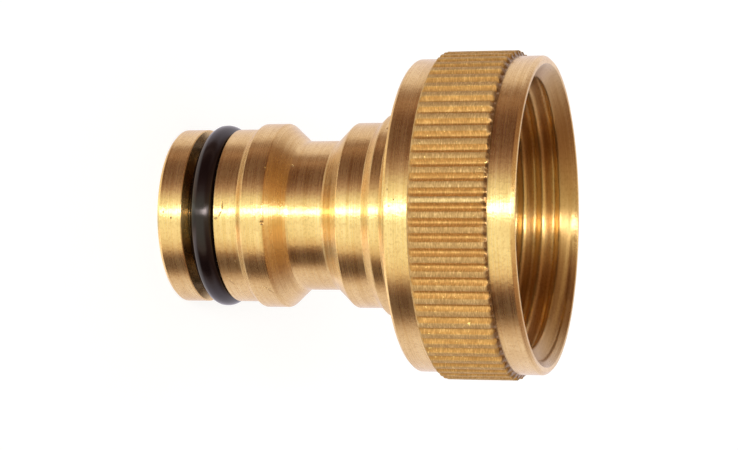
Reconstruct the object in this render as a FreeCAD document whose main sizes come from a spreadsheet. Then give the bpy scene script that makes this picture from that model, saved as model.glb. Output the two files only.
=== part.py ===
import FreeCAD, Part
import math
import os

import Sketcher
from FreeCAD import Vector

# Garden tap connector: a turned brass body with a quick-connect spigot at one end and a
# female tap thread at the other, a rubber ring round the spigot's nose and a flat washer
# at the bottom of the threaded mouth. It stands on its nose end: Z is the axis, z = 0 is
# the nose face and the mouth opens upwards. All sizes are in millimetres.

doc = FreeCAD.newDocument("TapConnector")

SIZES = [
    # The water way and the spigot that pushes into a quick-connect socket
    ("water_bore_diameter", 9.5),
    ("bore_chamfer", 0.4),
    ("spigot_wall", 1.25),
    ("nose_land", 2.38),
    ("nose_chamfer", 0.3),
    ("front_land", 2.2),
    ("catch_rise", 0.5),
    ("catch_lead", 0.55),
    ("catch_land", 2.05),
    ("waist_depth", 1.63),
    ("waist_entry", 1.8),
    ("waist_land", 3.35),
    ("waist_exit", 1.7),
    ("shoulder_land", 2.42),
    # The neck that steps out to the collar
    ("neck_rise", 0.78),
    ("neck_lead", 0.83),
    ("neck_land", 1.0),
    ("root_rise", 0.52),
    ("root_lead", 0.5),
    ("root_land", 1.1),
    ("root_chamfer", 0.35),
    # The female thread, as its core bore, with the relief behind it and the mouth's bevel
    ("thread_major_diameter", 26.441),
    ("thread_pitch", 1.814),
    ("thread_depth_per_pitch", 0.6403),
    ("relief_clearance", 0.08),
    ("relief_width", 2.4),
    ("web_thickness", 2.2),
    ("bevel_over_relief", 0.36),
    # The collar that a hand turns
    ("collar_wall", 0.92),
    ("collar_band", 2.3),
    ("collar_chamfer", 0.25),
    ("knurl_teeth", 72),
    ("knurl_length", 7.05),
    ("knurl_depth", 0.43),
    ("knurl_root_step", 0.09),
    ("knurl_lead_in", 0.4),
    ("knurl_run_out", 0.33),
    ("knurl_tooth_land", 0.5),
    ("knurl_floor_width", 0.32),
    ("mouth_ring_rise", 0.14),
    ("mouth_ring_length", 2.34),
    ("mouth_chamfer", 0.3),
    # The two seals
    ("ring_section", 2.4),
    ("ring_proud", 0.42),
    ("ring_clearance", 0.02),
    ("ring_side_play", 0.67),
    ("washer_thickness", 2.0),
    ("washer_face_width", 4.0),
    ("washer_clearance", 0.1),
]

sheet = doc.addObject("Spreadsheet::Sheet", "Sizes")
for row, (alias, number) in enumerate(SIZES, start=1):
    sheet.set(f"A{row}", alias)
    sheet.set(f"B{row}", str(number))
    sheet.setAlias(f"B{row}", alias)
doc.recompute()


def value(expression):
    """The number that an expression over the sheet gives now."""
    return float(sheet.evalExpression(expression.replace("Sizes.", "")))


# Radii, from the water way outwards
bore_radius = "Sizes.water_bore_diameter / 2"
groove_floor_radius = f"({bore_radius} + Sizes.spigot_wall)"
groove_depth = "(Sizes.ring_section + Sizes.ring_clearance - Sizes.ring_proud)"
nose_radius = f"({groove_floor_radius} + {groove_depth})"
catch_radius = f"({nose_radius} + Sizes.catch_rise)"
waist_radius = f"({catch_radius} - Sizes.waist_depth)"
neck_radius = f"({catch_radius} + Sizes.neck_rise)"
root_radius = f"({neck_radius} + Sizes.root_rise)"

thread_major_radius = "Sizes.thread_major_diameter / 2"
core_radius = f"({thread_major_radius} - Sizes.thread_depth_per_pitch * Sizes.thread_pitch)"
relief_radius = f"({thread_major_radius} + Sizes.relief_clearance)"
band_radius = f"({relief_radius} + Sizes.collar_wall)"
mouth_ring_radius = f"({band_radius} + Sizes.mouth_ring_rise)"
knurl_root_radius = f"({mouth_ring_radius} + Sizes.knurl_root_step)"
knurl_tip_radius = f"({knurl_root_radius} + Sizes.knurl_depth)"
rim_inner_radius = f"({relief_radius} + Sizes.bevel_over_relief)"
washer_radius = f"({core_radius} - Sizes.washer_clearance)"

# Heights, from the nose face upwards
groove_start = "Sizes.nose_land"
groove_end = f"({groove_start} + Sizes.ring_section + Sizes.ring_side_play)"
catch_foot = f"({groove_end} + Sizes.front_land)"
catch_start = f"({catch_foot} + Sizes.catch_lead)"
catch_end = f"({catch_start} + Sizes.catch_land)"
waist_start = f"({catch_end} + Sizes.waist_entry)"
waist_end = f"({waist_start} + Sizes.waist_land)"
shoulder_start = f"({waist_end} + Sizes.waist_exit)"
shoulder_end = f"({shoulder_start} + Sizes.shoulder_land)"
neck_start = f"({shoulder_end} + Sizes.neck_lead)"
neck_end = f"({neck_start} + Sizes.neck_land)"
root_start = f"({neck_end} + Sizes.root_lead)"
collar_face = f"({root_start} + Sizes.root_land)"
knurl_start = f"({collar_face} + Sizes.collar_band)"
knurl_end = f"({knurl_start} + Sizes.knurl_length)"
mouth = f"({knurl_end} + Sizes.mouth_ring_length)"
seat = f"({collar_face} + Sizes.web_thickness)"
relief_end = f"({seat} + Sizes.relief_width)"
bevel_start = f"({mouth} - ({rim_inner_radius} - {core_radius}))"


def new_body(label):
    body = doc.addObject("PartDesign::Body", label)
    body.Label = label
    return body


def origin_item(body, role):
    return next(item for item in body.Origin.OriginFeatures if item.Role == role)


def new_sketch(body, name, role, height=None):
    """A sketch on one of the body's own planes, lifted to a height where one is given."""
    sketch = body.newObject("Sketcher::SketchObject", name)
    sketch.AttachmentSupport = [(origin_item(body, role), "")]
    sketch.MapMode = "FlatFace"
    if height is not None:
        sketch.setExpression("AttachmentOffset.Base.z", height)
    return sketch


def bind(sketch, constraint, expression):
    """Adds a dimension and ties it to the sheet."""
    index = sketch.addConstraint(constraint)
    sketch.setExpression(f"Constraints[{index}]", expression)


def place_point(sketch, item, end, across, up):
    """Fixes one point of a sketch by its two distances from the sketch's origin."""
    for kind, axis, expression in (("DistanceX", -2, across), ("DistanceY", -1, up)):
        if expression == "0":
            sketch.addConstraint(Sketcher.Constraint("PointOnObject", item, end, axis))
        else:
            bind(sketch, Sketcher.Constraint(kind, -1, 1, item, end, value(expression)), expression)


def draw_outline(sketch, corners):
    """A closed outline of straight lines, with each corner given as two expressions."""
    points = [Vector(value(across), value(up), 0) for across, up in corners]
    following = points[1:] + points[:1]
    lines = [Part.LineSegment(start, end) for start, end in zip(points, following)]
    sketch.addGeometry(lines, False)
    count = len(lines)
    for index in range(count):
        following_line = (index + 1) % count
        sketch.addConstraint(Sketcher.Constraint("Coincident", index, 2, following_line, 1))
    for index, (across, up) in enumerate(corners):
        place_point(sketch, index, 1, across, up)


def draw_circle(sketch, radius, across="0", up="0"):
    centre = Vector(value(across), value(up), 0)
    index = sketch.addGeometry(Part.Circle(centre, Vector(0, 0, 1), value(radius)), False)
    if across == "0" and up == "0":
        sketch.addConstraint(Sketcher.Constraint("Coincident", index, 3, -1, 1))
    else:
        place_point(sketch, index, 3, across, up)
    bind(sketch, Sketcher.Constraint("Radius", index, value(radius)), radius)


def turn(body, kind, name, sketch):
    """A full turn of a sketch about the axis: PartDesign::Revolution adds, Groove cuts."""
    feature = body.newObject(kind, name)
    feature.Profile = sketch
    feature.ReferenceAxis = (sketch, ["V_Axis"])
    feature.Angle = 360
    doc.recompute()
    return feature


def rim_edge(shape, radius, height):
    """The name of the circular edge that has this radius and lies at this height."""
    for index, edge in enumerate(shape.Edges, start=1):
        curve = edge.Curve
        if not isinstance(curve, Part.Circle):
            continue
        off_radius = abs(curve.Radius - value(radius))
        off_height = abs(curve.Center.z - value(height))
        if off_radius < EDGE_TOLERANCE and off_height < EDGE_TOLERANCE:
            return f"Edge{index}"
    raise RuntimeError(f"no round edge of radius {radius} at height {height}")


def chamfer(body, name, size, rims):
    """Bevels the body's latest shape at 45 degrees along the round edges given."""
    base = body.Tip
    feature = body.newObject("PartDesign::Chamfer", name)
    feature.Base = (base, [rim_edge(base.Shape, radius, height) for radius, height in rims])
    feature.setExpression("Size", size)
    doc.recompute()


def volume_changed(body, before, name):
    """Stops the macro where a cut went the wrong way and left the body as it was."""
    if before - body.Shape.Volume < SMALLEST_CUT:
        raise RuntimeError(f"{name} cut nothing")


EDGE_TOLERANCE = 1e-5
SMALLEST_CUT = 0.1
CUT_PAST_SURFACE = "0.3"


def make_connector_body():
    body = new_body("connector_body")

    # The outside, turned from bar: nose land, catch ring, waist between two cones, shoulder,
    # two neck steps, collar band, knurl blank and plain mouth ring
    outside = new_sketch(body, "OutsideProfile", "XZ_Plane")
    draw_outline(outside, [
        ("0", "0"),
        (nose_radius, "0"),
        (nose_radius, catch_foot),
        (catch_radius, catch_start),
        (catch_radius, catch_end),
        (waist_radius, waist_start),
        (waist_radius, waist_end),
        (catch_radius, shoulder_start),
        (catch_radius, shoulder_end),
        (neck_radius, neck_start),
        (neck_radius, neck_end),
        (root_radius, root_start),
        (root_radius, collar_face),
        (band_radius, collar_face),
        (band_radius, knurl_start),
        (knurl_tip_radius, f"({knurl_start} + Sizes.knurl_lead_in)"),
        (knurl_tip_radius, f"({knurl_end} - Sizes.knurl_run_out)"),
        (mouth_ring_radius, knurl_end),
        (mouth_ring_radius, mouth),
        ("0", mouth),
    ])
    turn(body, "PartDesign::Revolution", "TurnedOutside", outside)

    # The groove that holds the rubber ring
    ring_groove = new_sketch(body, "RingGrooveProfile", "XZ_Plane")
    past_land = f"({nose_radius} + {CUT_PAST_SURFACE})"
    draw_outline(ring_groove, [
        (groove_floor_radius, groove_start),
        (past_land, groove_start),
        (past_land, groove_end),
        (groove_floor_radius, groove_end),
    ])
    before = body.Shape.Volume
    turn(body, "PartDesign::Groove", "RingGroove", ring_groove)
    volume_changed(body, before, "RingGroove")

    # The threaded mouth: washer seat, relief behind the thread, core bore and a bevel at 45
    # degrees that opens a little wider than the relief
    mouth_cut = new_sketch(body, "MouthProfile", "XZ_Plane")
    draw_outline(mouth_cut, [
        ("0", seat),
        (relief_radius, seat),
        (relief_radius, relief_end),
        (core_radius, relief_end),
        (core_radius, bevel_start),
        (rim_inner_radius, mouth),
        ("0", mouth),
    ])
    before = body.Shape.Volume
    turn(body, "PartDesign::Groove", "ThreadedMouth", mouth_cut)
    volume_changed(body, before, "ThreadedMouth")

    # The water way, drilled from the nose face into the mouth
    bore = new_sketch(body, "WaterBoreCircle", "XY_Plane")
    draw_circle(bore, bore_radius)
    before = body.Shape.Volume
    drilled = body.newObject("PartDesign::Pocket", "WaterBore")
    drilled.Profile = bore
    drilled.Type = "Length"
    drilled.Reversed = True
    drilled.setExpression("Length", seat)
    doc.recompute()
    volume_changed(body, before, "WaterBore")

    # Edges broken by the lathe
    chamfer(body, "NoseChamfer", "Sizes.nose_chamfer", [(nose_radius, "0")])
    chamfer(body, "BoreChamfers", "Sizes.bore_chamfer",
            [(bore_radius, "0"), (bore_radius, seat)])
    chamfer(body, "CollarChamfer", "Sizes.collar_chamfer", [(band_radius, collar_face)])
    chamfer(body, "MouthChamfer", "Sizes.mouth_chamfer", [(mouth_ring_radius, mouth)])
    chamfer(body, "RootChamfer", "Sizes.root_chamfer", [(root_radius, collar_face)])

    add_knurl(body)
    return body


def add_knurl(body):
    """Straight knurling: one groove with sloping sides, repeated round the collar."""
    tooth_pitch = f"(2 * pi * {knurl_tip_radius} / Sizes.knurl_teeth)"
    half_top = f"(({tooth_pitch} - Sizes.knurl_tooth_land) / 2)"
    half_floor = "(Sizes.knurl_floor_width / 2)"
    side_slope = f"(({half_top} - {half_floor}) / Sizes.knurl_depth)"
    half_past_tip = f"({half_top} + {CUT_PAST_SURFACE} * {side_slope})"
    past_tip = f"({knurl_tip_radius} + {CUT_PAST_SURFACE})"

    groove = new_sketch(body, "KnurlGrooveProfile", "XY_Plane", knurl_start)
    draw_outline(groove, [
        (knurl_root_radius, f"(-{half_floor})"),
        (past_tip, f"(-{half_past_tip})"),
        (past_tip, half_past_tip),
        (knurl_root_radius, half_floor),
    ])
    before = body.Shape.Volume
    cut = body.newObject("PartDesign::Pocket", "KnurlGroove")
    cut.Profile = groove
    cut.Type = "Length"
    cut.Reversed = True
    cut.setExpression("Length", "Sizes.knurl_length")
    doc.recompute()
    volume_changed(body, before, "KnurlGroove")

    teeth = body.newObject("PartDesign::PolarPattern", "Knurl")
    teeth.Originals = [cut]
    teeth.Axis = (origin_item(body, "Z_Axis"), [""])
    teeth.Angle = 360
    teeth.setExpression("Occurrences", "Sizes.knurl_teeth")
    body.Tip = teeth
    doc.recompute()


def make_o_ring():
    """The rubber ring. It grips the groove's floor and lies against the groove's far wall."""
    body = new_body("o_ring")
    section = new_sketch(body, "RingSection", "XZ_Plane")
    section_radius = "(Sizes.ring_section / 2)"
    draw_circle(
        section,
        section_radius,
        f"({groove_floor_radius} + Sizes.ring_clearance + {section_radius})",
        f"({groove_end} - Sizes.ring_clearance - {section_radius})",
    )
    turn(body, "PartDesign::Revolution", "Ring", section)
    return body


def make_sealing_washer():
    """The flat washer that the tap's end presses onto the seat. It passes the thread's core."""
    body = new_body("sealing_washer")
    face = new_sketch(body, "WasherFace", "XY_Plane", seat)
    draw_circle(face, washer_radius)
    draw_circle(face, f"({washer_radius} - Sizes.washer_face_width)")
    pad = body.newObject("PartDesign::Pad", "Washer")
    pad.Profile = face
    pad.setExpression("Length", "Sizes.washer_thickness")
    doc.recompute()
    return body


def check(bodies):
    """Stops before anything is written where the document or a shape has a fault."""
    for item in doc.Objects:
        faults = {"Invalid", "Error"} & set(item.State)
        if faults:
            raise RuntimeError(f"{item.Name} is {faults}")
    for body in bodies:
        shape = body.Shape
        if shape.isNull() or not shape.isValid() or len(shape.Solids) != 1:
            raise RuntimeError(f"{body.Label} is not one valid solid")


def export(bodies):
    os.makedirs("parts", exist_ok=True)
    for body in bodies:
        body.Shape.exportStep(f"parts/{body.Label}.step")
        box = body.Shape.BoundBox
        print(f"{body.Label}: {body.Shape.Volume:.1f} mm3, {len(body.Shape.Faces)} faces,"
              f" z {box.ZMin:.3f} to {box.ZMax:.3f}, across {box.XLength:.3f}")


pieces = [make_connector_body(), make_o_ring(), make_sealing_washer()]
doc.recompute()
check(pieces)
export(pieces)
print(f"height {value(mouth):.3f} mm, catch ring diameter {2 * value(catch_radius):.3f} mm,"
      f" knurl diameter {2 * value(knurl_tip_radius):.3f} mm,"
      f" tooth pitch {2 * math.pi * value(knurl_tip_radius) / value('Sizes.knurl_teeth'):.3f} mm")
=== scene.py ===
# %% [markdown]
# # A brass garden tap connector
#
# The real connector is one piece of brass, turned on a lathe: a spigot with a groove for a rubber
# ring, a waist that a socket's catch drops into, and a wide knurled collar with a pipe thread cut
# in its mouth. Two loose rubber parts go with it: the ring in its groove and a flat washer deep in
# the mouth. The measured model is loaded first. Everything that follows is made in its frame, in
# metres, with the connector standing on the spigot's end and its axis along Z.

# %% Load the measured model
import math
from functools import partial

import bpy
from mathutils import Matrix


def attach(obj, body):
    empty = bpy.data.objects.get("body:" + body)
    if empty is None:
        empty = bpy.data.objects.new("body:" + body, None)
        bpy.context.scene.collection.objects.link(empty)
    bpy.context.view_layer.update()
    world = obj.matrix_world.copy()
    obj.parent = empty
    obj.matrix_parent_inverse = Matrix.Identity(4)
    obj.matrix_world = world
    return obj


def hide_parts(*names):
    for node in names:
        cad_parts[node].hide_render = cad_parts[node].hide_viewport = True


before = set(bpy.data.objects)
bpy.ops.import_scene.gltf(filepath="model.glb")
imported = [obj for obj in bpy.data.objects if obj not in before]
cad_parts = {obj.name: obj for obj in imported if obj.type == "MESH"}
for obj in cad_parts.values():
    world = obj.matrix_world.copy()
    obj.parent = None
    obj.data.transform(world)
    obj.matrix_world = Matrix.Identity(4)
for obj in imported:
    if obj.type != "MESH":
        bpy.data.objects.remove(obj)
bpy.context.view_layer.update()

MM = 0.001
scene = bpy.context.scene
print("nodes:", sorted(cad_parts))

# %% [markdown]
# ## The camera
#
# The picture shows the connector lying on its side, but it is simply the camera that is turned: its
# right hand points up along the connector's axis. It looks slightly down into the mouth. The long
# lens and the distance give the weak perspective of a product photograph, and a small shift places
# the axis a little above the middle of the frame.

# %% Place the camera
TILT = math.radians(16.225)
CAMERA_AT = (0, -206.479 * MM, 77.889 * MM)
PICTURE_WIDTH = 738
FOCAL_PIXELS = 2339.34
AXIS_ABOVE_MIDDLE = 9.6

right = (0, math.sin(TILT), math.cos(TILT))
up = (-1, 0, 0)
back = (0, -math.cos(TILT), math.sin(TILT))
turn = Matrix((right, up, back)).transposed().to_4x4()

camera_data = bpy.data.cameras.new("product_camera")
camera_data.sensor_width = 36
camera_data.lens = FOCAL_PIXELS / PICTURE_WIDTH * camera_data.sensor_width
camera_data.shift_y = -AXIS_ABOVE_MIDDLE / PICTURE_WIDTH
camera_data.clip_start = 0.01
camera_data.clip_end = 20
camera = bpy.data.objects.new("product_camera", camera_data)
camera.matrix_world = Matrix.Translation(CAMERA_AT) @ turn
scene.collection.objects.link(camera)
scene.camera = camera
print("lens", round(camera_data.lens, 2), "mm")

# %% [markdown]
# ## Helpers for node trees
#
# Shaders and Geometry Nodes are both graphs of small steps. Three helpers keep the script readable:
# `place` adds one node with its settings and wires, `reckon` adds one sum and gives back its
# result, and `map_range` carries a value from one range to another.

# %% Helpers for nodes and sums
def place(tree, kind, inputs=None, **settings):
    """Add a node. inputs maps a socket's name or number to a value or another node's output."""
    node = tree.nodes.new(kind)
    for name, value in settings.items():
        setattr(node, name, value)
    for socket, value in (inputs or {}).items():
        if isinstance(value, bpy.types.NodeSocket):
            tree.links.new(value, node.inputs[socket])
        else:
            node.inputs[socket].default_value = value
    return node


def reckon(tree, operation, *values):
    """One sum of numbers or sockets."""
    return place(tree, "ShaderNodeMath", dict(enumerate(values)), operation=operation).outputs[0]


def map_range(tree, value, low, high, to_low, to_high, kind="SMOOTHSTEP"):
    """Carry a value from one range to another, held at its ends."""
    inputs = {0: value, 1: low, 2: high, 3: to_low, 4: to_high}
    return place(tree, "ShaderNodeMapRange", inputs, interpolation_type=kind).outputs[0]


# %% [markdown]
# A colour ramp wants its stops between 0 and 1. `ramp_over` lets them be written in degrees or in
# any other unit, which is easier to read and to change.

# %% Helpers for colours
def colour_ramp(tree, factor, stops):
    """A ramp with (position, colour) stops."""
    ramp = place(tree, "ShaderNodeValToRGB", {"Fac": factor})
    elements = ramp.color_ramp.elements
    elements[0].position, elements[0].color = stops[0][0], (*stops[0][1], 1)
    elements[1].position, elements[1].color = stops[-1][0], (*stops[-1][1], 1)
    for position, colour in stops[1:-1]:
        elements.new(position).color = (*colour, 1)
    return ramp.outputs["Color"]


def ramp_over(tree, value, low, high, stops):
    """A ramp whose stops are written in the value's own unit, from low to high."""
    share = map_range(tree, value, low, high, 0.0, 1.0, "LINEAR")
    return colour_ramp(tree, share, [((at - low) / (high - low), colour) for at, colour in stops])


def blend_colours(tree, mode, factor, first, second):
    """Mix two colours or colour sockets, which are the node's inputs 6 and 7."""
    node = place(tree, "ShaderNodeMix", data_type="RGBA", blend_type=mode)
    for socket, value in ((0, factor), (6, first), (7, second)):
        if isinstance(value, bpy.types.NodeSocket):
            tree.links.new(value, node.inputs[socket])
        else:
            node.inputs[socket].default_value = value if socket == 0 else (*value, 1)
    return node.outputs[2]


# %% [markdown]
# Marks of a hundredth of a millimetre could be modelled, but they are far smaller than any face
# here. So they are made of noise and of relief that is only shaded.

# %% Helpers for surfaces
def noise(tree, coordinates, cells, detail, roughness=0.5):
    """Noise with so many cells in each unit of the coordinates."""
    inputs = {"Vector": coordinates, "Scale": cells, "Detail": detail, "Roughness": roughness}
    return place(tree, "ShaderNodeTexNoise", inputs).outputs[0]


def bump(tree, strength, distance, height, below=None, **settings):
    """A relief that is shaded and not modelled, laid over the one below it."""
    inputs = {"Strength": strength, "Distance": distance, "Height": height}
    if below is not None:
        inputs["Normal"] = below
    return place(tree, "ShaderNodeBump", inputs, **settings).outputs[0]


def painted(tree, name):
    """A value that the mesh carries as an attribute."""
    return place(tree, "ShaderNodeAttribute", attribute_name=name).outputs["Fac"]


# %% [markdown]
# ## The studio
#
# Polished metal shows its surroundings more than itself, so the light comes first. The connector
# stands in a light tent: white cloth behind and below, a soft white panel beside the camera, one
# narrow bright tube near the lens, and two dark gaps where the tent is open. On a turned surface
# each of these becomes a band that runs along the axis. The tent could be built from lit panels,
# but when its colour is written by direction, one number places each band. The walls are written by
# bearing round the axis. The roof and the floor of the tent are seen by the sloping faces, and are
# written by side.

# %% Colours of the tent
TENT_BY_BEARING = (
    (-180, (0.90, 0.85, 0.94)),
    (-110, (0.92, 0.86, 0.96)),
    (-97, (0.88, 0.79, 0.82)),
    (-88, (0.60, 0.47, 0.43)),
    (-80, (0.22, 0.14, 0.11)),
    (-73, (0.10, 0.055, 0.042)),
    (-61, (0.10, 0.052, 0.04)),
    (-52, (0.29, 0.165, 0.12)),
    (-44, (0.96, 0.80, 0.60)),
    (-32, (1.09, 1.08, 0.84)),
    (-16, (1.14, 1.20, 0.99)),
    (10, (1.20, 1.28, 1.04)),
    (21, (1.00, 1.00, 0.82)),
    (32, (0.54, 0.41, 0.35)),
    (42, (0.265, 0.15, 0.12)),
    (52, (0.16, 0.08, 0.058)),
    (62, (0.13, 0.056, 0.04)),
    (74, (0.15, 0.072, 0.05)),
    (82, (0.25, 0.137, 0.10)),
    (89, (0.42, 0.27, 0.21)),
    (96, (0.27, 0.165, 0.13)),
    (103, (0.38, 0.26, 0.22)),
    (111, (0.80, 0.70, 0.71)),
    (122, (0.90, 0.83, 0.90)),
    (180, (0.90, 0.85, 0.94)),
)
ROOF_BY_SIDE = (
    (-1.0, (0.60, 0.46, 0.40)),
    (-0.73, (0.27, 0.14, 0.095)),
    (-0.60, (0.33, 0.185, 0.12)),
    (-0.44, (0.50, 0.30, 0.20)),
    (-0.23, (0.76, 0.57, 0.37)),
    (-0.08, (0.90, 0.76, 0.50)),
    (0.08, (0.92, 0.80, 0.55)),
    (0.23, (0.76, 0.60, 0.38)),
    (0.44, (0.45, 0.26, 0.175)),
    (0.60, (0.29, 0.16, 0.10)),
    (0.73, (0.22, 0.115, 0.075)),
    (1.0, (0.50, 0.38, 0.33)),
)
FLOOR_BY_SIDE = (
    (-1.0, (0.80, 0.76, 0.74)),
    (-0.52, (0.98, 0.94, 0.92)),
    (-0.32, (1.90, 1.75, 1.72)),
    (-0.22, (1.65, 1.38, 1.18)),
    (-0.12, (0.82, 0.80, 0.70)),
    (0.12, (1.15, 1.30, 1.00)),
    (0.22, (1.30, 1.24, 0.92)),
    (0.32, (1.25, 0.96, 0.74)),
    (0.52, (0.96, 0.86, 0.80)),
    (1.0, (0.80, 0.76, 0.74)),
)
ROOF_FROM, ROOF_FULL = 0.25, 0.72
FLOOR_FROM, FLOOR_FULL = -0.48, -0.82


def tent_colour(tree, across, ahead, upward):
    """The cloth's colour in one direction."""
    bearing = reckon(tree, "DEGREES", reckon(tree, "ARCTAN2", across, ahead))
    walls = ramp_over(tree, bearing, -180.0, 180.0, TENT_BY_BEARING)
    roof = ramp_over(tree, across, -1.0, 1.0, ROOF_BY_SIDE)
    ground = ramp_over(tree, across, -1.0, 1.0, FLOOR_BY_SIDE)
    above = map_range(tree, upward, ROOF_FROM, ROOF_FULL, 0.0, 1.0)
    below = map_range(tree, upward, FLOOR_FROM, FLOOR_FULL, 0.0, 1.0)
    return blend_colours(tree, "MIX", below, blend_colours(tree, "MIX", above, walls, roof), ground)


print("tent:", len(TENT_BY_BEARING), "stops round the axis")

# %% [markdown]
# The tube draws the bright line along each cylinder. It could be a lamp, but as a part of the world
# it can be shaped by numbers too: it is narrow across, and its power changes along its length,
# which is written by height in degrees above the camera's side.

# %% Power of the tube
TUBE_ACROSS = 0.085
TUBE_HALF_WIDTH = 0.05
TUBE_SOFTNESS = 0.3
TUBE_STRENGTH = 16.0
TUBE_BY_HEIGHT = (
    (-180, 0.0), (-100, 0.03), (-60, 0.07), (-44, 0.13), (-14, 0.20), (12, 0.55), (26, 1.0),
    (42, 1.15), (56, 0.4), (68, 0.22), (105, 0.20), (130, 0.0), (180, 0.0),
)


def tube_light(tree, across, ahead, upward):
    """The tube's light in one direction."""
    off_tube = reckon(tree, "ABSOLUTE", reckon(tree, "SUBTRACT", across, TUBE_ACROSS))
    outer, inner = TUBE_HALF_WIDTH * (1 + TUBE_SOFTNESS), TUBE_HALF_WIDTH * (1 - TUBE_SOFTNESS)
    in_tube = map_range(tree, off_tube, outer, inner, 0.0, TUBE_STRENGTH)
    height = reckon(tree, "DEGREES", reckon(tree, "ARCTAN2", upward, ahead))
    greys = [(degrees, (level,) * 3) for degrees, level in TUBE_BY_HEIGHT]
    power = ramp_over(tree, height, -180.0, 180.0, greys)
    tube = reckon(tree, "MULTIPLY", in_tube, power)
    return place(tree, "ShaderNodeCombineColor", {0: tube, 1: tube, 2: tube}).outputs[0]


print("tube:", TUBE_STRENGTH, "times white at its brightest")

# %% [markdown]
# The world shows the tent and the tube to every ray but the camera's own, which sees plain white.

# %% Light the studio
def build_world():
    world = bpy.data.worlds.new("light_tent")
    world.use_nodes = True
    tree = world.node_tree
    tree.nodes.clear()
    direction = place(tree, "ShaderNodeTexCoord").outputs["Generated"]
    part = place(tree, "ShaderNodeSeparateXYZ", {0: direction}).outputs
    across = reckon(tree, "MULTIPLY", part["X"], -1.0)
    ahead = reckon(tree, "MULTIPLY", part["Y"], -1.0)
    tent = tent_colour(tree, across, ahead, part["Z"])
    tube = tube_light(tree, across, ahead, part["Z"])
    lit = blend_colours(tree, "ADD", 1.0, tent, tube)
    path = place(tree, "ShaderNodeLightPath").outputs
    seen = blend_colours(tree, "MIX", path["Is Camera Ray"], lit, (1, 1, 1))
    background = place(tree, "ShaderNodeBackground", {"Color": seen, "Strength": 1.0})
    place(tree, "ShaderNodeOutputWorld", {"Surface": background.outputs[0]})
    return world


scene.world = build_world()
scene.view_settings.view_transform = "Standard"
print("world:", scene.world.name)

# %% [markdown]
# ## The floor
#
# A plain white sheet under the connector. Lit by the tent alone it would come out grey, so a share
# of its colour is its own light. The rest is lit, so that the connector keeps a faint shadow where
# it stands. The tent already has a white floor for the metal to show, so the sheet stays out of the
# reflections.

# %% Lay the floor
FLOOR_HALF = 4.0
FLOOR_GLOW = 0.72
FLOOR_CLOTH = (0.93, 0.95, 0.97, 1)
FLOOR_LIGHT, FLOOR_LIGHT_STRENGTH = (0.98, 0.995, 1, 1), 1.15


def white_sheet():
    material = bpy.data.materials.new("white_sheet")
    material.use_nodes = True
    tree = material.node_tree
    tree.nodes.clear()
    lit = place(tree, "ShaderNodeBsdfDiffuse", {"Color": FLOOR_CLOTH})
    inputs = {"Color": FLOOR_LIGHT, "Strength": FLOOR_LIGHT_STRENGTH}
    glow = place(tree, "ShaderNodeEmission", inputs)
    shaders = {0: FLOOR_GLOW, 1: lit.outputs[0], 2: glow.outputs[0]}
    both = place(tree, "ShaderNodeMixShader", shaders)
    place(tree, "ShaderNodeOutputMaterial", {"Surface": both.outputs[0]})
    return material


def lay_floor():
    mesh = bpy.data.meshes.new("floor_sheet")
    sides = ((-1, -1), (1, -1), (1, 1), (-1, 1))
    mesh.from_pydata([(x * FLOOR_HALF, y * FLOOR_HALF, 0) for x, y in sides], [], [(0, 1, 2, 3)])
    mesh.materials.append(white_sheet())
    floor = bpy.data.objects.new("floor_sheet", mesh)
    scene.collection.objects.link(floor)
    floor.visible_glossy = False
    floor.visible_shadow = False
    return floor


print("laid:", lay_floor().name)

# %% [markdown]
# ## Brass fresh from the lathe
#
# The tool leaves very fine lines round the axis. They blur a reflection along the axis and leave it
# sharp round it, which is what the anisotropic setting of a metal shader does when its tangent
# follows the lathe's turn. The lines themselves could be a picture, but a noise that is stretched
# round the axis has no seam and stays fine from close by: each line shifts the colour, the gloss
# and the height a little. A wider noise stands for the faint stain that hands leave, and a very
# small one for specks. Inside the mouth the brass is a little warmer and duller.

# %% Lines round the axis
BRASS_LIGHT = (0.93, 0.68, 0.325)
BRASS_DEEP = (0.765, 0.515, 0.215)
FINE_LINES = (150.0, 9500.0)
BROAD_LINES = (80.0, 3000.0)


def stretched_noise(tree, coordinates, round_axis, along_axis, detail=2.0):
    """Noise in cells per metre: few round the axis, many along it."""
    inputs = {"Vector": coordinates, "Scale": (round_axis, round_axis, along_axis)}
    return noise(tree, place(tree, "ShaderNodeMapping", inputs).outputs[0], 1.0, detail)


def weighted(tree, first, weight, second, other_weight):
    """The weighted sum of two values."""
    first = reckon(tree, "MULTIPLY", first, weight)
    return reckon(tree, "ADD", first, reckon(tree, "MULTIPLY", second, other_weight))


# %% [markdown]
# A used connector has a few knocks and scratches. Modelled, they would need very fine faces. So
# each is a small ellipse that the finish darkens and dents, written as the bearing of its middle
# round the axis, its height and the radius there, its half length and half width, and its slant
# from the axis, in degrees and millimetres.

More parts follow.
